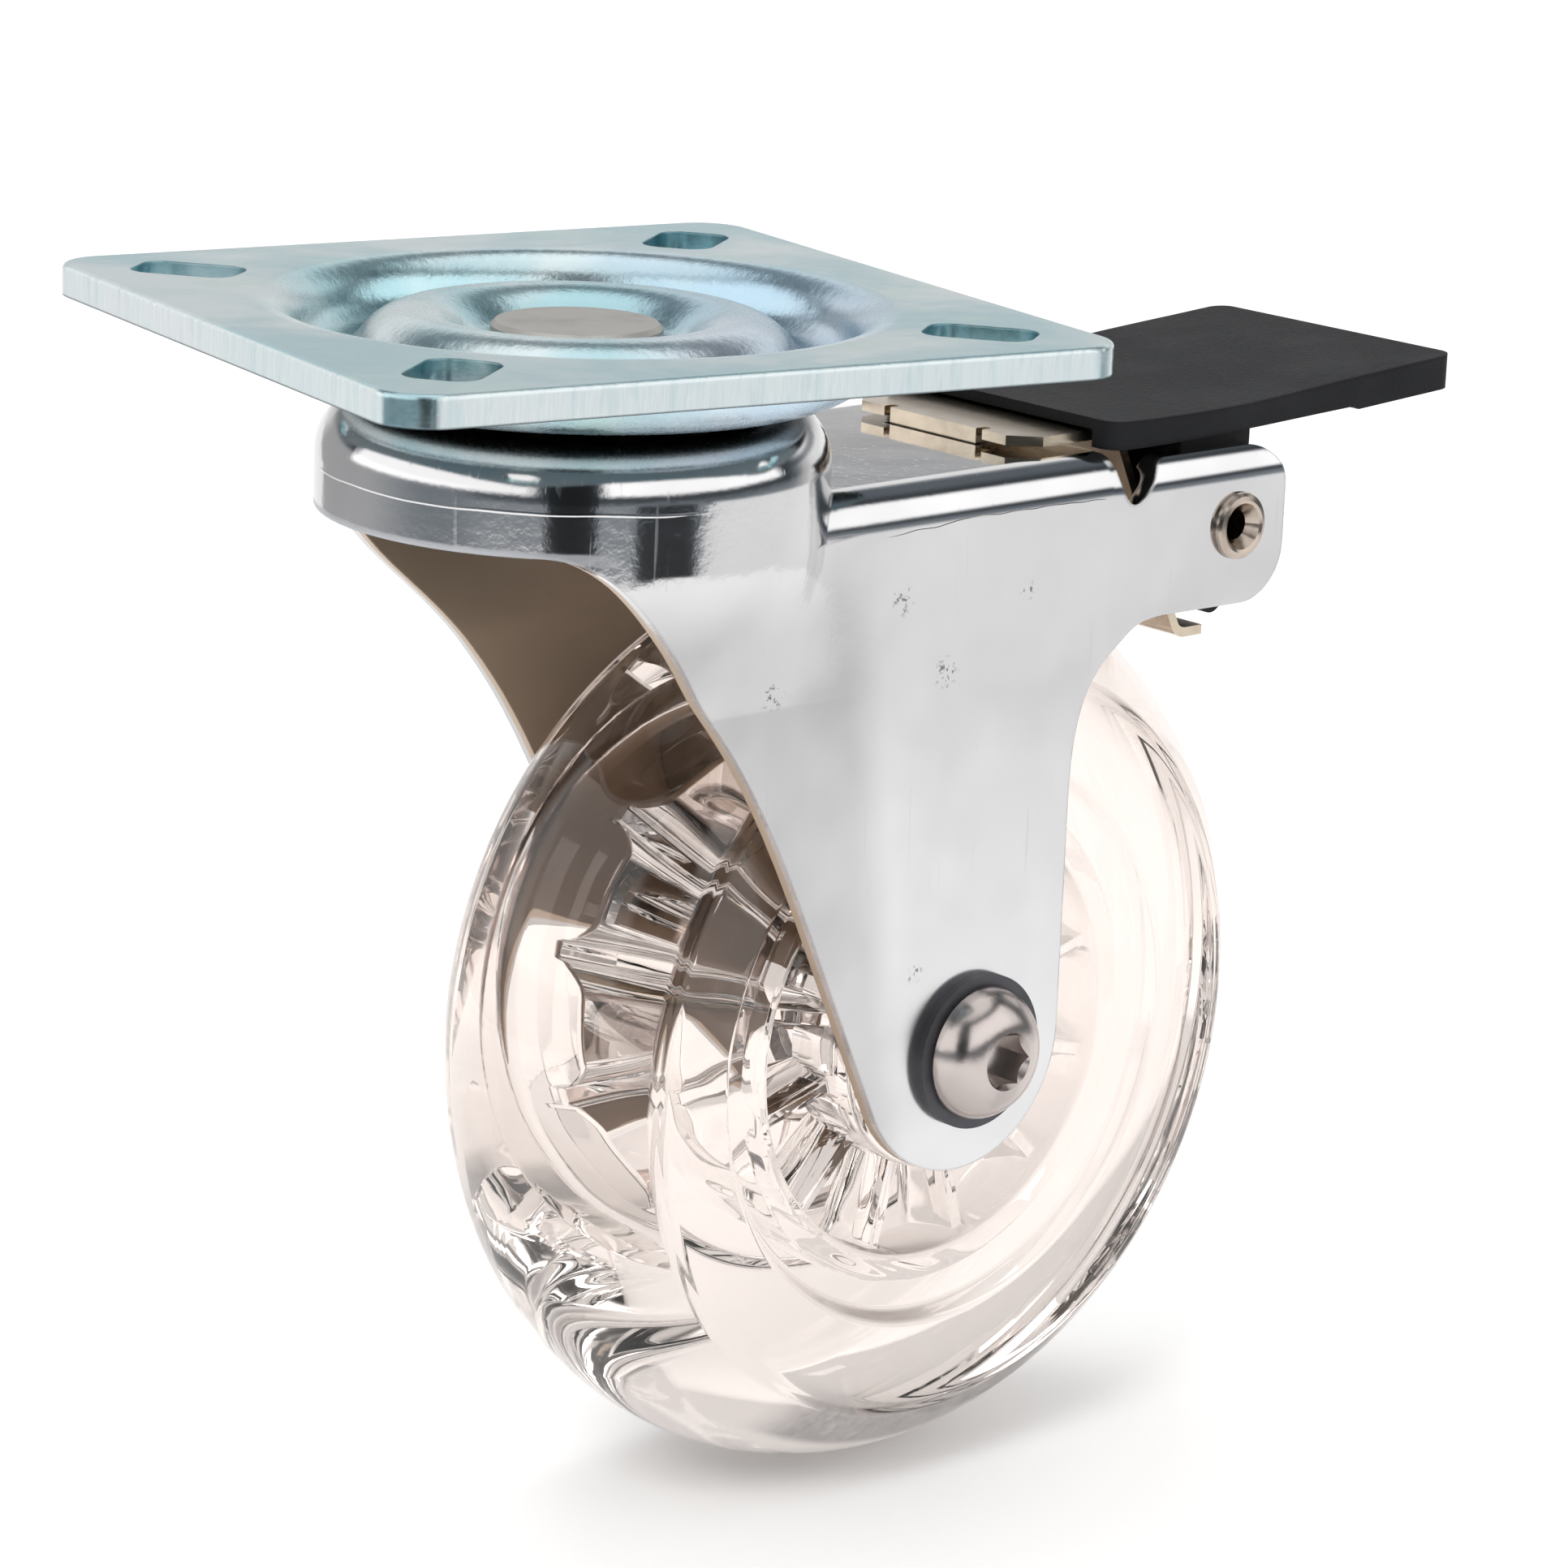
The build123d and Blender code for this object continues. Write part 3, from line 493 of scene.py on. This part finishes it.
@dataclass(frozen=True)
class PedalFinish:
    """Black moulded plastic with a fine spark-eroded grain. Sizes in millimetres."""

    black: Colour = (0.012, 0.0125, 0.014)
    dust: Colour = (0.035, 0.036, 0.038)
    grain_size: float = 0.42
    cloud_size: float = 7.0
    relief: float = 0.10
    corner: float = 0.6

    def make(self) -> bpy.types.Material:
        """Build the material."""
        g = Graph("black_plastic")
        grain = g.noise(self.grain_size, 3.0, 0.65)
        cloud = g.noise(self.cloud_size, 3.0, 0.5)
        colour = g.blend(cloud.step(0.4, 0.8) * 0.25, self.black, self.dust)
        rough = 0.54 + grain * 0.16 - cloud * 0.06
        return g.finish(Base_Color=colour, Roughness=rough, Specular_IOR_Level=0.12,
                        Normal=g.bump(grain, self.relief, 0.8, g.soft_edges(self.corner)))


class ClearKind(Enum):
    """The clear plastics: name, tint and index against what is round them."""

    TYRE = ("clear_tyre", (0.842, 0.764, 0.724), 1.49)
    BOND = ("clear_bond", (0.990, 0.980, 0.970), 1.045)


@dataclass(frozen=True)
class ClearFinish:
    """Clear cast plastic, frosted where the tread has stood on floors, with a dark band painted low on its near
    shoulder. Sizes in millimetres.
    """

    kind: ClearKind
    # Colour of the painted dark reflection band on the tread.
    painted_dark_band: Colour = (0.05, 0.05, 0.055)
    wave_share: float = 0.97
    foot_height: Ends = (-35.6, -36.9)
    foot_cosine: Ends = (0.84, 0.93)
    foot_radius: Ends = (29.0, 30.5)
    dark_band_reach: Ends = (-12.5, -8.8)
    crease_at: float = 9.4
    crease_half: float = 0.25
    crease_radius: Ends = (30.0, 31.0)
    tread_half: float = 12.0
    relief: float = 0.05

    def make(self) -> bpy.types.Material:
        """Build the material."""
        name, tint, index = self.kind.value
        g = Graph(name)
        local = g.local((AXLE[0] * math.cos(SWIVEL), AXLE[0] * math.sin(SWIVEL), AXLE[1]))
        x, y, z = g.axes(local)
        radius = (x * x + z * z) ** 0.5
        hatch = g.noise(0.45, 1.0, 0.7, vector=local, squeeze=(0.5, 0.1, 0.5))
        wave = g.noise(9.0, 0.0, 0.5, vector=local)
        frost = z.step(*self.foot_height) * (1 - abs(y) / self.tread_half) * (0.35 + hatch * 0.65)
        low = (z * -1.0 / radius).step(*self.foot_cosine) * radius.step(*self.foot_radius)
        # Painted reflection: a dark band low on the tread's near shoulder stands for dark surroundings seen through
        # the tyre.
        painted_dark_band = y.band(*self.dark_band_reach, 1.4) * low * (0.7 + hatch * 0.3)
        colour = g.blend(wave.step(0.35, 0.75) * 0.35, tint, tuple(c * self.wave_share for c in tint))
        colour = g.blend(painted_dark_band, colour, self.painted_dark_band)
        extra = {}
        if self.kind is ClearKind.TYRE:
            crease = (1 - abs(y - self.crease_at) / self.crease_half).step(0.0, 1.0)
            crease = crease * radius.step(*self.crease_radius)
            extra["Normal"] = g.bump(hatch * frost * 0.6 + crease * 0.25, self.relief, 0.35)
        return g.finish(Base_Color=colour, Roughness=0.012 + frost * 0.16, IOR=index, Transmission_Weight=1.0,
                        **extra)


# Surfaces

def fork_to_row(points: np.ndarray) -> np.ndarray:
    """Turn points in millimetres from the fork's directions to row-frame metres.

    Args:
        points: an array whose last axis holds x, y and z.

    Returns:
        The turned points: x' = x cos t - y sin t, y' = x sin t + y cos t.
    """
    c, s = math.cos(SWIVEL), math.sin(SWIVEL)
    x, y, z = points[..., 0], points[..., 1], points[..., 2]
    return np.stack([x * c - y * s, x * s + y * c, z], -1) * MM


def grid_piece(name: str, points: np.ndarray, material: bpy.types.Material) -> bpy.types.Object:
    """Make a smooth mesh from a grid of points that closes on itself both ways.

    Args:
        name: the piece's name.
        points: rows by columns by 3, in metres.
        material: the finish.

    Returns:
        The new object.
    """
    rows, columns = points.shape[:2]
    i, j = np.meshgrid(np.arange(rows), np.arange(columns), indexing="ij")
    here = i * columns + j
    right = i * columns + (j + 1) % columns
    below = ((i + 1) % rows) * columns + j
    across = ((i + 1) % rows) * columns + (j + 1) % columns
    faces = np.stack([here, right, across, below], -1).reshape(-1, 4)
    flat = points.reshape(-1, 3)
    ends = flat[faces]
    area = np.cross(ends[:, 1] - ends[:, 0], ends[:, 2] - ends[:, 0])
    if float((area * ends[:, 0]).sum()) < 0:
        faces = faces[:, ::-1]
    mesh = bpy.data.meshes.new(name)
    mesh.from_pydata(flat.tolist(), [], faces.tolist())
    mesh.polygons.foreach_set("use_smooth", np.ones(len(faces), bool))
    mesh.update()
    made = bpy.data.objects.new(name, mesh)
    bpy.context.scene.collection.objects.link(made)
    mesh.materials.append(material)
    return made


def rounded(corners: Sequence[tuple[float, float, float]], steps: int = 4) -> np.ndarray:
    """Round the corners of a closed outline.

    Args:
        corners: x, y and rounding radius of each corner.
        steps: points along each rounded corner.

    Returns:
        The outline's points: a quadratic curve c0 (1-t)^2 + 2 c1 t (1-t) + c2 t^2 at each corner.
    """
    spots = np.array([c[:2] for c in corners], float)
    before = np.roll(spots, 1, 0) - spots
    after = np.roll(spots, -1, 0) - spots
    size = np.array([c[2] for c in corners])[:, None]
    start = spots + before / np.linalg.norm(before, axis=1, keepdims=True) * size
    end = spots + after / np.linalg.norm(after, axis=1, keepdims=True) * size
    t = np.linspace(0, 1, steps)[None, :, None]
    curve = start[:, None] * (1 - t) ** 2 + 2 * spots[:, None] * t * (1 - t) + end[:, None] * t ** 2
    return curve.reshape(-1, 2)


@dataclass(frozen=True)
class ClearWheel:
    """The clear tyre and hub as one surface, and the bond between them.

    Sizes are in millimetres: radii about the axle, half widths along it. The tread is an arc of an ellipse.
    """

    tread_centre: float = 22.5
    tread_depth: float = 15.0
    tread_half: float = 14.8
    tread_points: int = 34
    half: float = 12.5
    rim_half: float = 11.0
    rib_half: float = 9.4
    web_half: float = 5.4
    far_cell: float = 1.4
    rib: float = 1.4
    ribs: int = 12
    bore: float = 6.3
    seat: float = 7.5
    seat_from: float = 7.0
    tube: float = 10.6
    tube_half: float = 12.0
    rim_in: float = 18.1
    rim_out: float = 22.6
    bond_in: float = 18.7
    bond_out: float = 20.5
    bond_half: float = 10.4
    bumps: int = 24
    bump: float = 0.5
    bump_half: float = 9.0

    def to_row(self, radius: np.ndarray, along: np.ndarray, angle: np.ndarray) -> np.ndarray:
        """Points at a radius and angle about the axle, at a distance along it.

        Args:
            radius: distance from the axle.
            along: distance along the axle, away from the near side.
            angle: angle about the axle in radians.

        Returns:
            Row-frame points: x = axle + r cos a, y = along, z = axle - r sin a, then turned.
        """
        x = AXLE[0] + radius * np.cos(angle)
        z = AXLE[1] - radius * np.sin(angle)
        return fork_to_row(np.stack([x, along + 0 * x, z], -1))

    def section(self) -> tuple[np.ndarray, np.ndarray]:
        """Half outline of the wheel from the bore to the tread's middle: radius and distance along the axle."""
        limit = math.asin(self.half / self.tread_half)
        a = np.linspace(limit, 0, self.tread_points)[1:]
        crown = np.stack([self.tread_centre + self.tread_depth * np.cos(a), self.tread_half * np.sin(a)], -1)
        flank = self.tread_centre + self.tread_depth * math.cos(limit)
        corners = [(self.bore, 0.0, 0.01), (self.bore, self.seat_from, 0.05), (self.seat, self.seat_from, 0.05),
                   (self.seat, self.tube_half, 0.3), (self.tube, self.tube_half, 0.5),
                   (self.tube, self.rib_half, 0.2), (self.rim_in, self.rib_half, 0.2),
                   (self.rim_in, self.rim_half, 0.3),
                   (self.rim_out, self.rim_half, 0.35), (self.rim_out + 0.8, self.half, 0.45),
                   (flank - 0.4, self.half, 0.5), (flank, self.half - 0.2, 0.01)]
        outline = rounded(corners, 4)[2:-4]
        dense = np.concatenate([outline, crown])
        return dense[:, 0], dense[:, 1]

    def surface(self, material: bpy.types.Material) -> bpy.types.Object:
        """Build the wheel's outer surface.

        Args:
            material: the clear finish.

        Returns:
            The piece. Between two ribs the surface sinks from the ribs' height to the web: y = rib - (rib - web) m,
            where m is 1 in a cell and 0 on a rib, and the rib's edge follows asin(half rib / radius).
        """
        radius, along = self.section()
        radius = np.concatenate([radius, radius[-2:0:-1]])
        along = np.concatenate([along, -along[-2:0:-1]])
        cell = 2 * math.pi / self.ribs
        shares = np.concatenate([np.linspace(-1.0, 0.3, 14), np.linspace(0.5, 1.5, 5), np.linspace(1.7, 2.92, 13)])
        level = np.interp(shares, [-1, -0.4, 0.25, 1.75, 2.4, 3.0], [1, 1, 0, 0, 1, 1])
        mask = level * level * (3 - 2 * level)
        reach = np.clip(radius, self.tube, self.rim_in)
        edge = np.arcsin(self.rib / 2 / reach)[:, None]
        middle = (shares - 1.0)[None, :]
        inner = np.abs(middle) <= 1.0
        turn = np.where(inner, middle * edge, np.sign(middle) * (edge + (np.abs(middle) - 1.0) * (cell / 2 - edge)))
        angle = (turn[:, None, :] + (np.arange(self.ribs) + 0.5)[None, :, None] * cell).reshape(len(radius), -1)
        sink = np.tile(mask, self.ribs)[None, :]
        zone = ((radius > self.tube - 0.3) & (radius < self.rim_in + 0.3) & (np.abs(along) < self.rib_half + 0.25))
        depth = np.where(zone, np.where(along < 0, np.abs(along) - self.web_half, self.far_cell), 0.0)[:, None]
        y = along[:, None] - np.sign(along)[:, None] * depth * sink
        return grid_piece("clear_wheel", self.to_row(radius[:, None], y, angle), material)

    def bond(self, material: bpy.types.Material) -> bpy.types.Object:
        """Build the ring where the tyre grips the hub, with a row of locking bumps.

        Args:
            material: the clear finish for one plastic against the other.

        Returns:
            The piece: outer radius b + h (cos n a / 2 + 1 / 2) (1 - (y / w)^2), with n bumps of height h and half
            width w round the ring.
        """
        inner, outer, half = self.bond_in, self.bond_out, self.bond_half
        outline = rounded([(inner, -half, 0.2), (outer, -half, 0.4), (outer, half, 0.4), (inner, half, 0.2)], 5)
        dense = np.concatenate([np.linspace(a, b, 9)[:-1] for a, b in zip(outline, np.roll(outline, -1, 0))])
        a = np.linspace(0, 2 * math.pi, 289)[:-1][None, :]
        r, y = dense[:, :1], dense[:, 1:]
        lobe = np.clip(1 - (y / self.bump_half) ** 2, 0, 1) * (0.5 + 0.5 * np.cos(self.bumps * a))
        bump = self.bump * lobe * (r > outer - 0.2)
        return grid_piece("clear_bond", self.to_row(r + bump, y + 0 * a, a + 0 * r), material)

    def build(self) -> list[bpy.types.Object]:
        """Build both pieces, ride them on the wheel and stand them for the tyre and the core."""
        tyre = self.surface(ClearFinish(ClearKind.TYRE).make())
        bond = self.bond(ClearFinish(ClearKind.BOND).make())
        for piece in (tyre, bond):
            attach(piece, "wheel")
        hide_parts("tyre", "wheel_core")
        return [tyre, bond]


@dataclass(frozen=True)
class Parts:
    """The nodes that keep their solid shape, by finish."""

    lever: tuple[str, ...] = ("brake_lever",)
    rivet: tuple[str, ...] = ("pivot_rivet",)
    pin: tuple[str, ...] = ("kingpin",)
    bolt: tuple[str, ...] = ("axle_bolt", "axle_nut")
    dark: tuple[str, ...] = ("bolt_washer", "nut_washer")
    greased: tuple[str, ...] = ("lower_race", "upper_balls", "lower_balls")
    bearing: tuple[str, ...] = (
        "hub_spacer_near", "hub_spacer_far", "bearing_spacer", "bearing_outer_near", "bearing_outer_far",
        "bearing_inner_near", "bearing_inner_far", "bearing_balls_near", "bearing_balls_far", "bearing_shield_near",
        "bearing_shield_far")

    def dress(self, names: Sequence[str], material: bpy.types.Material) -> None:
        """Give CAD nodes a finish.

        Args:
            names: the nodes.
            material: the finish.
        """
        for name in names:
            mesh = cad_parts[name].data
            mesh.materials.clear()
            mesh.materials.append(material)
            log.info("%s: %s", name, material.name)

    def build(self) -> None:
        """Dress every one of them."""
        self.dress(("top_plate",), ZincFinish().make())
        self.dress(("fork",), ChromeFinish().make())
        self.dress(("brake_pedal",), PedalFinish().make())
        for names, kind in ((self.pin, Steel.PIN), (self.lever, Steel.NICKEL), (self.rivet, Steel.RIVET),
                            (self.bolt, Steel.BOLT), (self.dark, Steel.DARK), (self.greased, Steel.GREASED),
                            (self.bearing, Steel.BEARING)):
            self.dress(names, SteelFinish(kind).make())


# Stage

@dataclass(frozen=True)
class Lamp:
    """A soft area light that faces the castor and that no metal mirrors.

    Its place and its width and height are in metres, and its power is in watts.
    """

    name: str
    spot: tuple[float, float, float]
    size: tuple[float, float]
    power: float
    tint: Colour = (1.0, 1.0, 1.0)
    aim: tuple[float, float, float] = (0.02, 0.0, -0.05)

    def build(self) -> bpy.types.Object:
        """Add the light."""
        data = bpy.data.lights.new(self.name, "AREA")
        data.shape = "RECTANGLE"
        data.size, data.size_y = self.size
        data.energy = self.power
        data.color = self.tint
        made = bpy.data.objects.new(self.name, data)
        aim = Vector(self.aim) - Vector(self.spot)
        made.matrix_world = Matrix.Translation(Vector(self.spot)) @ aim.to_track_quat("-Z", "Y").to_matrix().to_4x4()
        made.visible_camera = False
        made.visible_glossy = False
        bpy.context.scene.collection.objects.link(made)
        return made


@dataclass(frozen=True)
class Patch:
    """A patch of the surround: its spans of heading and elevation, their soft edges and its glow. In degrees."""

    turn: Ends
    turn_soft: float
    lift: Ends
    lift_soft: float
    glow: float

    def share(self, u: Value, e: Value) -> Value:
        """Share of the patch.

        Args:
            u: heading.
            e: elevation.

        Returns:
            1 inside the patch and 0 outside.
        """
        return u.band(*self.turn, self.turn_soft) * e.band(*self.lift, self.lift_soft)


@dataclass(frozen=True)
class Surround:
    """The studio that the metal mirrors: a table that ends, a dark room and soft boxes round it.

    Lengths are in metres, the eye's height in millimetres. Headings are 0 at the camera, and they and the elevations
    are in degrees. A pair holds the two ends of a span or of a smooth step.
    """

    yaw: float
    floor_z: float
    inner: float = 0.26
    outer: float = 1.75
    dome: float = 1.8
    above_floor: float = 0.0012
    ring_rows: int = 12
    dome_rows: int = 25
    columns: int = 96
    eye_z: float = -20.0
    wall_from: Ends = (112.0, 140.0)
    wall_foot: Ends = (8.5, 12.5)
    wall_top: Ends = (36.0, 40.0)
    room_foot: Ends = (2.0, -6.0)
    left_turn: Ends = (-150.0, -42.0)
    left_top: Ends = (14.0, 10.0)
    back_from: Ends = (118.0, 135.0)
    back_lift: Ends = (16.0, 33.0)
    back_glow: float = 0.65
    over_from: Ends = (50.0, 60.0)
    over_glow: float = 1.15
    table_end: float = -12.2
    table_glow: float = 1.08
    warm: Colour = (1.0, 0.99, 0.985)
    cool: Colour = (0.78, 0.90, 1.0)
    left_box: Patch = Patch((-112.0, -14.0), 8.0, (5.0, 50.0), 5.0, 1.35)
    right_box: Patch = Patch((16.0, 108.0), 6.0, (7.0, 45.0), 4.0, 1.45)
    stand: Patch = Patch((30.0, 58.0), 5.0, (-15.5, -9.0), 0.8, 0.02)
    lens: Patch = Patch((-8.0, 13.0), 2.0, (-22.0, 31.0), 3.0, 0.02)

    def build(self) -> bpy.types.Object:
        """Build the surround.

        Returns:
            A ring on the floor and a dome over it, seen by mirrored rays alone. The dome's radius is d cos e at the
            height d sin e.
        """
        turn = np.linspace(0, 2 * math.pi, self.columns + 1)[:-1]
        lift = np.linspace(0, math.pi / 2, self.dome_rows)
        base = self.floor_z * MM + self.above_floor
        ring = np.geomspace(self.inner, self.outer, self.ring_rows)
        radius = np.concatenate([ring, self.dome * np.cos(lift)])[:, None]
        height = np.concatenate([np.full(self.ring_rows, base), base + self.dome * np.sin(lift)])[:, None]
        points = np.stack([radius * np.cos(turn), radius * np.sin(turn), height + 0 * turn], -1)
        rows, columns = points.shape[:2]
        i, j = np.meshgrid(np.arange(rows - 1), np.arange(columns), indexing="ij")
        here, across = i * columns + j, i * columns + (j + 1) % columns
        faces = np.stack([here, here + columns, across + columns, across], -1)
        mesh = bpy.data.meshes.new("surround")
        mesh.from_pydata(points.reshape(-1, 3).tolist(), [], faces.reshape(-1, 4).tolist())
        made = bpy.data.objects.new("surround", mesh)
        bpy.context.scene.collection.objects.link(made)
        mesh.materials.append(self.light())
        made.visible_camera = False
        made.visible_diffuse = False
        made.visible_shadow = False
        made.visible_transmission = False
        return made

    def light(self) -> bpy.types.Material:
        """Build the surround's glow from the heading u and the elevation e."""
        g = Graph("surround")
        seen = g.local((0.0, 0.0, self.eye_z), math.radians(-90.0 - self.yaw))
        x, y, z = g.axes(seen)
        u = y.angle(x)
        e = z.angle((x * x + y * y) ** 0.5)
        back_wall = 0.98 - e.step(*self.wall_foot) * 0.60 - e.step(*self.wall_top) * 0.20
        front_room = 0.07 + e.step(*self.room_foot) * 0.25
        glow = g.mix(abs(u).step(*self.wall_from), front_room, back_wall)
        far_left = u.band(*self.left_turn, 18.0) * e.step(*self.left_top)
        glow = g.mix(far_left, glow, 0.28 + u.step(-60.0, -100.0) * 0.20)
        back_box = abs(u).step(*self.back_from) * e.band(*self.back_lift, 4.0) * self.back_glow
        for box in (self.left_box, self.right_box):
            glow = glow + box.share(u, e) * box.glow
        glow = glow + back_box + e.step(*self.over_from) * self.over_glow
        end = self.table_end + u.step(55.0, 72.0) * 3.4 - u.step(-30.0, -48.0) * 0.8
        end = end + abs(u).step(138.0, 150.0) * 14.0
        glow = g.mix((end - e).step(-0.25, 0.25), glow, self.table_glow)
        glow = g.mix(self.stand.share(u, e).most(self.lens.share(u, e)), glow, self.stand.glow)
        tint = g.blend(glow.step(0.55, 0.2), self.warm, self.cool)
        shine = g.node("ShaderNodeVectorMath", {"operation": "SCALE"}, {0: tint, "Scale": glow})
        g.material.cycles.emission_sampling = "NONE"
        return g.finish(Base_Color=(0.0, 0.0, 0.0), Roughness=1.0, Specular_IOR_Level=0.0, Emission_Color=shine,
                        Emission_Strength=1.0)


@dataclass(frozen=True)
class Studio:
    """Camera, floor, soft lights and the surround that the metal mirrors.

    Angles are in degrees. The offset is the plate's centre from the camera, right, down and forward, and it and the
    floor's height are in millimetres. The focal length is in pixels of the square picture.
    """

    yaw: float = 31.367
    pitch: float = 14.89
    roll: float = -2.172
    offset: tuple[float, float, float] = (-15.432, -36.173, 402.354)
    focal_pixels: float = 6628.7
    picture: int = 1932
    sensor: float = 36.0
    floor_z: float = -97.95
    floor_half: float = 6.0
    floor_pale: Colour = (0.955, 0.95, 0.945)
    floor_dim: Colour = (0.93, 0.925, 0.92)
    floor_glow: Colour = (1.0, 0.995, 0.99)
    world_strength: float = 0.86
    lamps: tuple[Lamp, ...] = (Lamp("key", (-0.75, -0.45, 0.75), (0.5, 0.5), 5.8, (1.0, 0.98, 0.96)),
                               Lamp("fill", (0.6, -0.7, 0.45), (0.35, 0.5), 1.0),
                               Lamp("top", (0.1, 0.35, 0.8), (0.6, 0.4), 2.2, (0.96, 0.98, 1.0)))

    def axes(self) -> tuple[Vector, Vector, Vector]:
        """The camera's right, down and forward directions."""
        yaw, pitch, roll = (math.radians(v) for v in (self.yaw, self.pitch, self.roll))
        forward = Vector((math.sin(yaw) * math.cos(pitch), math.cos(yaw) * math.cos(pitch), -math.sin(pitch)))
        level = Vector((math.cos(yaw), -math.sin(yaw), 0.0))
        down = forward.cross(level)
        right = level * math.cos(roll) + down * math.sin(roll)
        return right, down * math.cos(roll) - level * math.sin(roll), forward

    def camera(self) -> bpy.types.Object:
        """Make the camera at the photograph's viewing angle."""
        right, down, forward = self.axes()
        spot = -(right * self.offset[0] + down * self.offset[1] + forward * self.offset[2]) * MM
        data = bpy.data.cameras.new("camera")
        data.sensor_width = self.sensor
        data.lens = self.focal_pixels / self.picture * self.sensor
        data.clip_start = 0.01
        made = bpy.data.objects.new("camera", data)
        turn = Matrix((right, -down, -forward)).transposed().to_4x4()
        made.matrix_world = Matrix.Translation(spot) @ turn
        bpy.context.scene.collection.objects.link(made)
        bpy.context.scene.camera = made
        return made

    def floor(self) -> bpy.types.Object:
        """Make the plain pale floor."""
        side, z = self.floor_half, self.floor_z * MM
        mesh = bpy.data.meshes.new("floor")
        mesh.from_pydata([(-side, -side, z), (side, -side, z), (side, side, z), (-side, side, z)], [], [(0, 1, 2, 3)])
        made = bpy.data.objects.new("floor", mesh)
        bpy.context.scene.collection.objects.link(made)
        g = Graph("floor")
        tint = g.blend(g.noise(60.0, 2.0, 0.5) * 0.3, self.floor_pale, self.floor_dim)
        mesh.materials.append(g.finish(Base_Color=tint, Roughness=0.6, Specular_IOR_Level=0.2,
                                       Emission_Color=self.floor_glow, Emission_Strength=0.09))
        return made

    def world(self) -> None:
        """Make the even white light all round."""
        world = bpy.data.worlds.new("surround")
        world.use_nodes = True
        back = world.node_tree.nodes["Background"]
        back.inputs["Color"].default_value = (1.0, 1.0, 1.0, 1.0)
        back.inputs["Strength"].default_value = self.world_strength
        bpy.context.scene.world = world

    def build(self) -> None:
        """Set the whole stage and how far light is followed."""
        self.camera()
        self.floor()
        self.world()
        Surround(self.yaw, self.floor_z).build()
        for lamp in self.lamps:
            lamp.build()
            log.info("%s: %.1f W", lamp.name, lamp.power)
        scene = bpy.context.scene
        scene.view_settings.view_transform = "Standard"
        scene.cycles.max_bounces = 14
        scene.cycles.transmission_bounces = 14
        scene.cycles.glossy_bounces = 7
        scene.cycles.diffuse_bounces = 2
        scene.cycles.use_denoising = True


def main() -> None:
    """Build the stage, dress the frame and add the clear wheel."""
    logging.basicConfig(level=logging.INFO, format="%(message)s")
    Studio().build()
    Parts().build()
    for piece in ClearWheel().build():
        log.info("%s: %d faces", piece.name, len(piece.data.polygons))


if __name__ == "__main__":
    main()
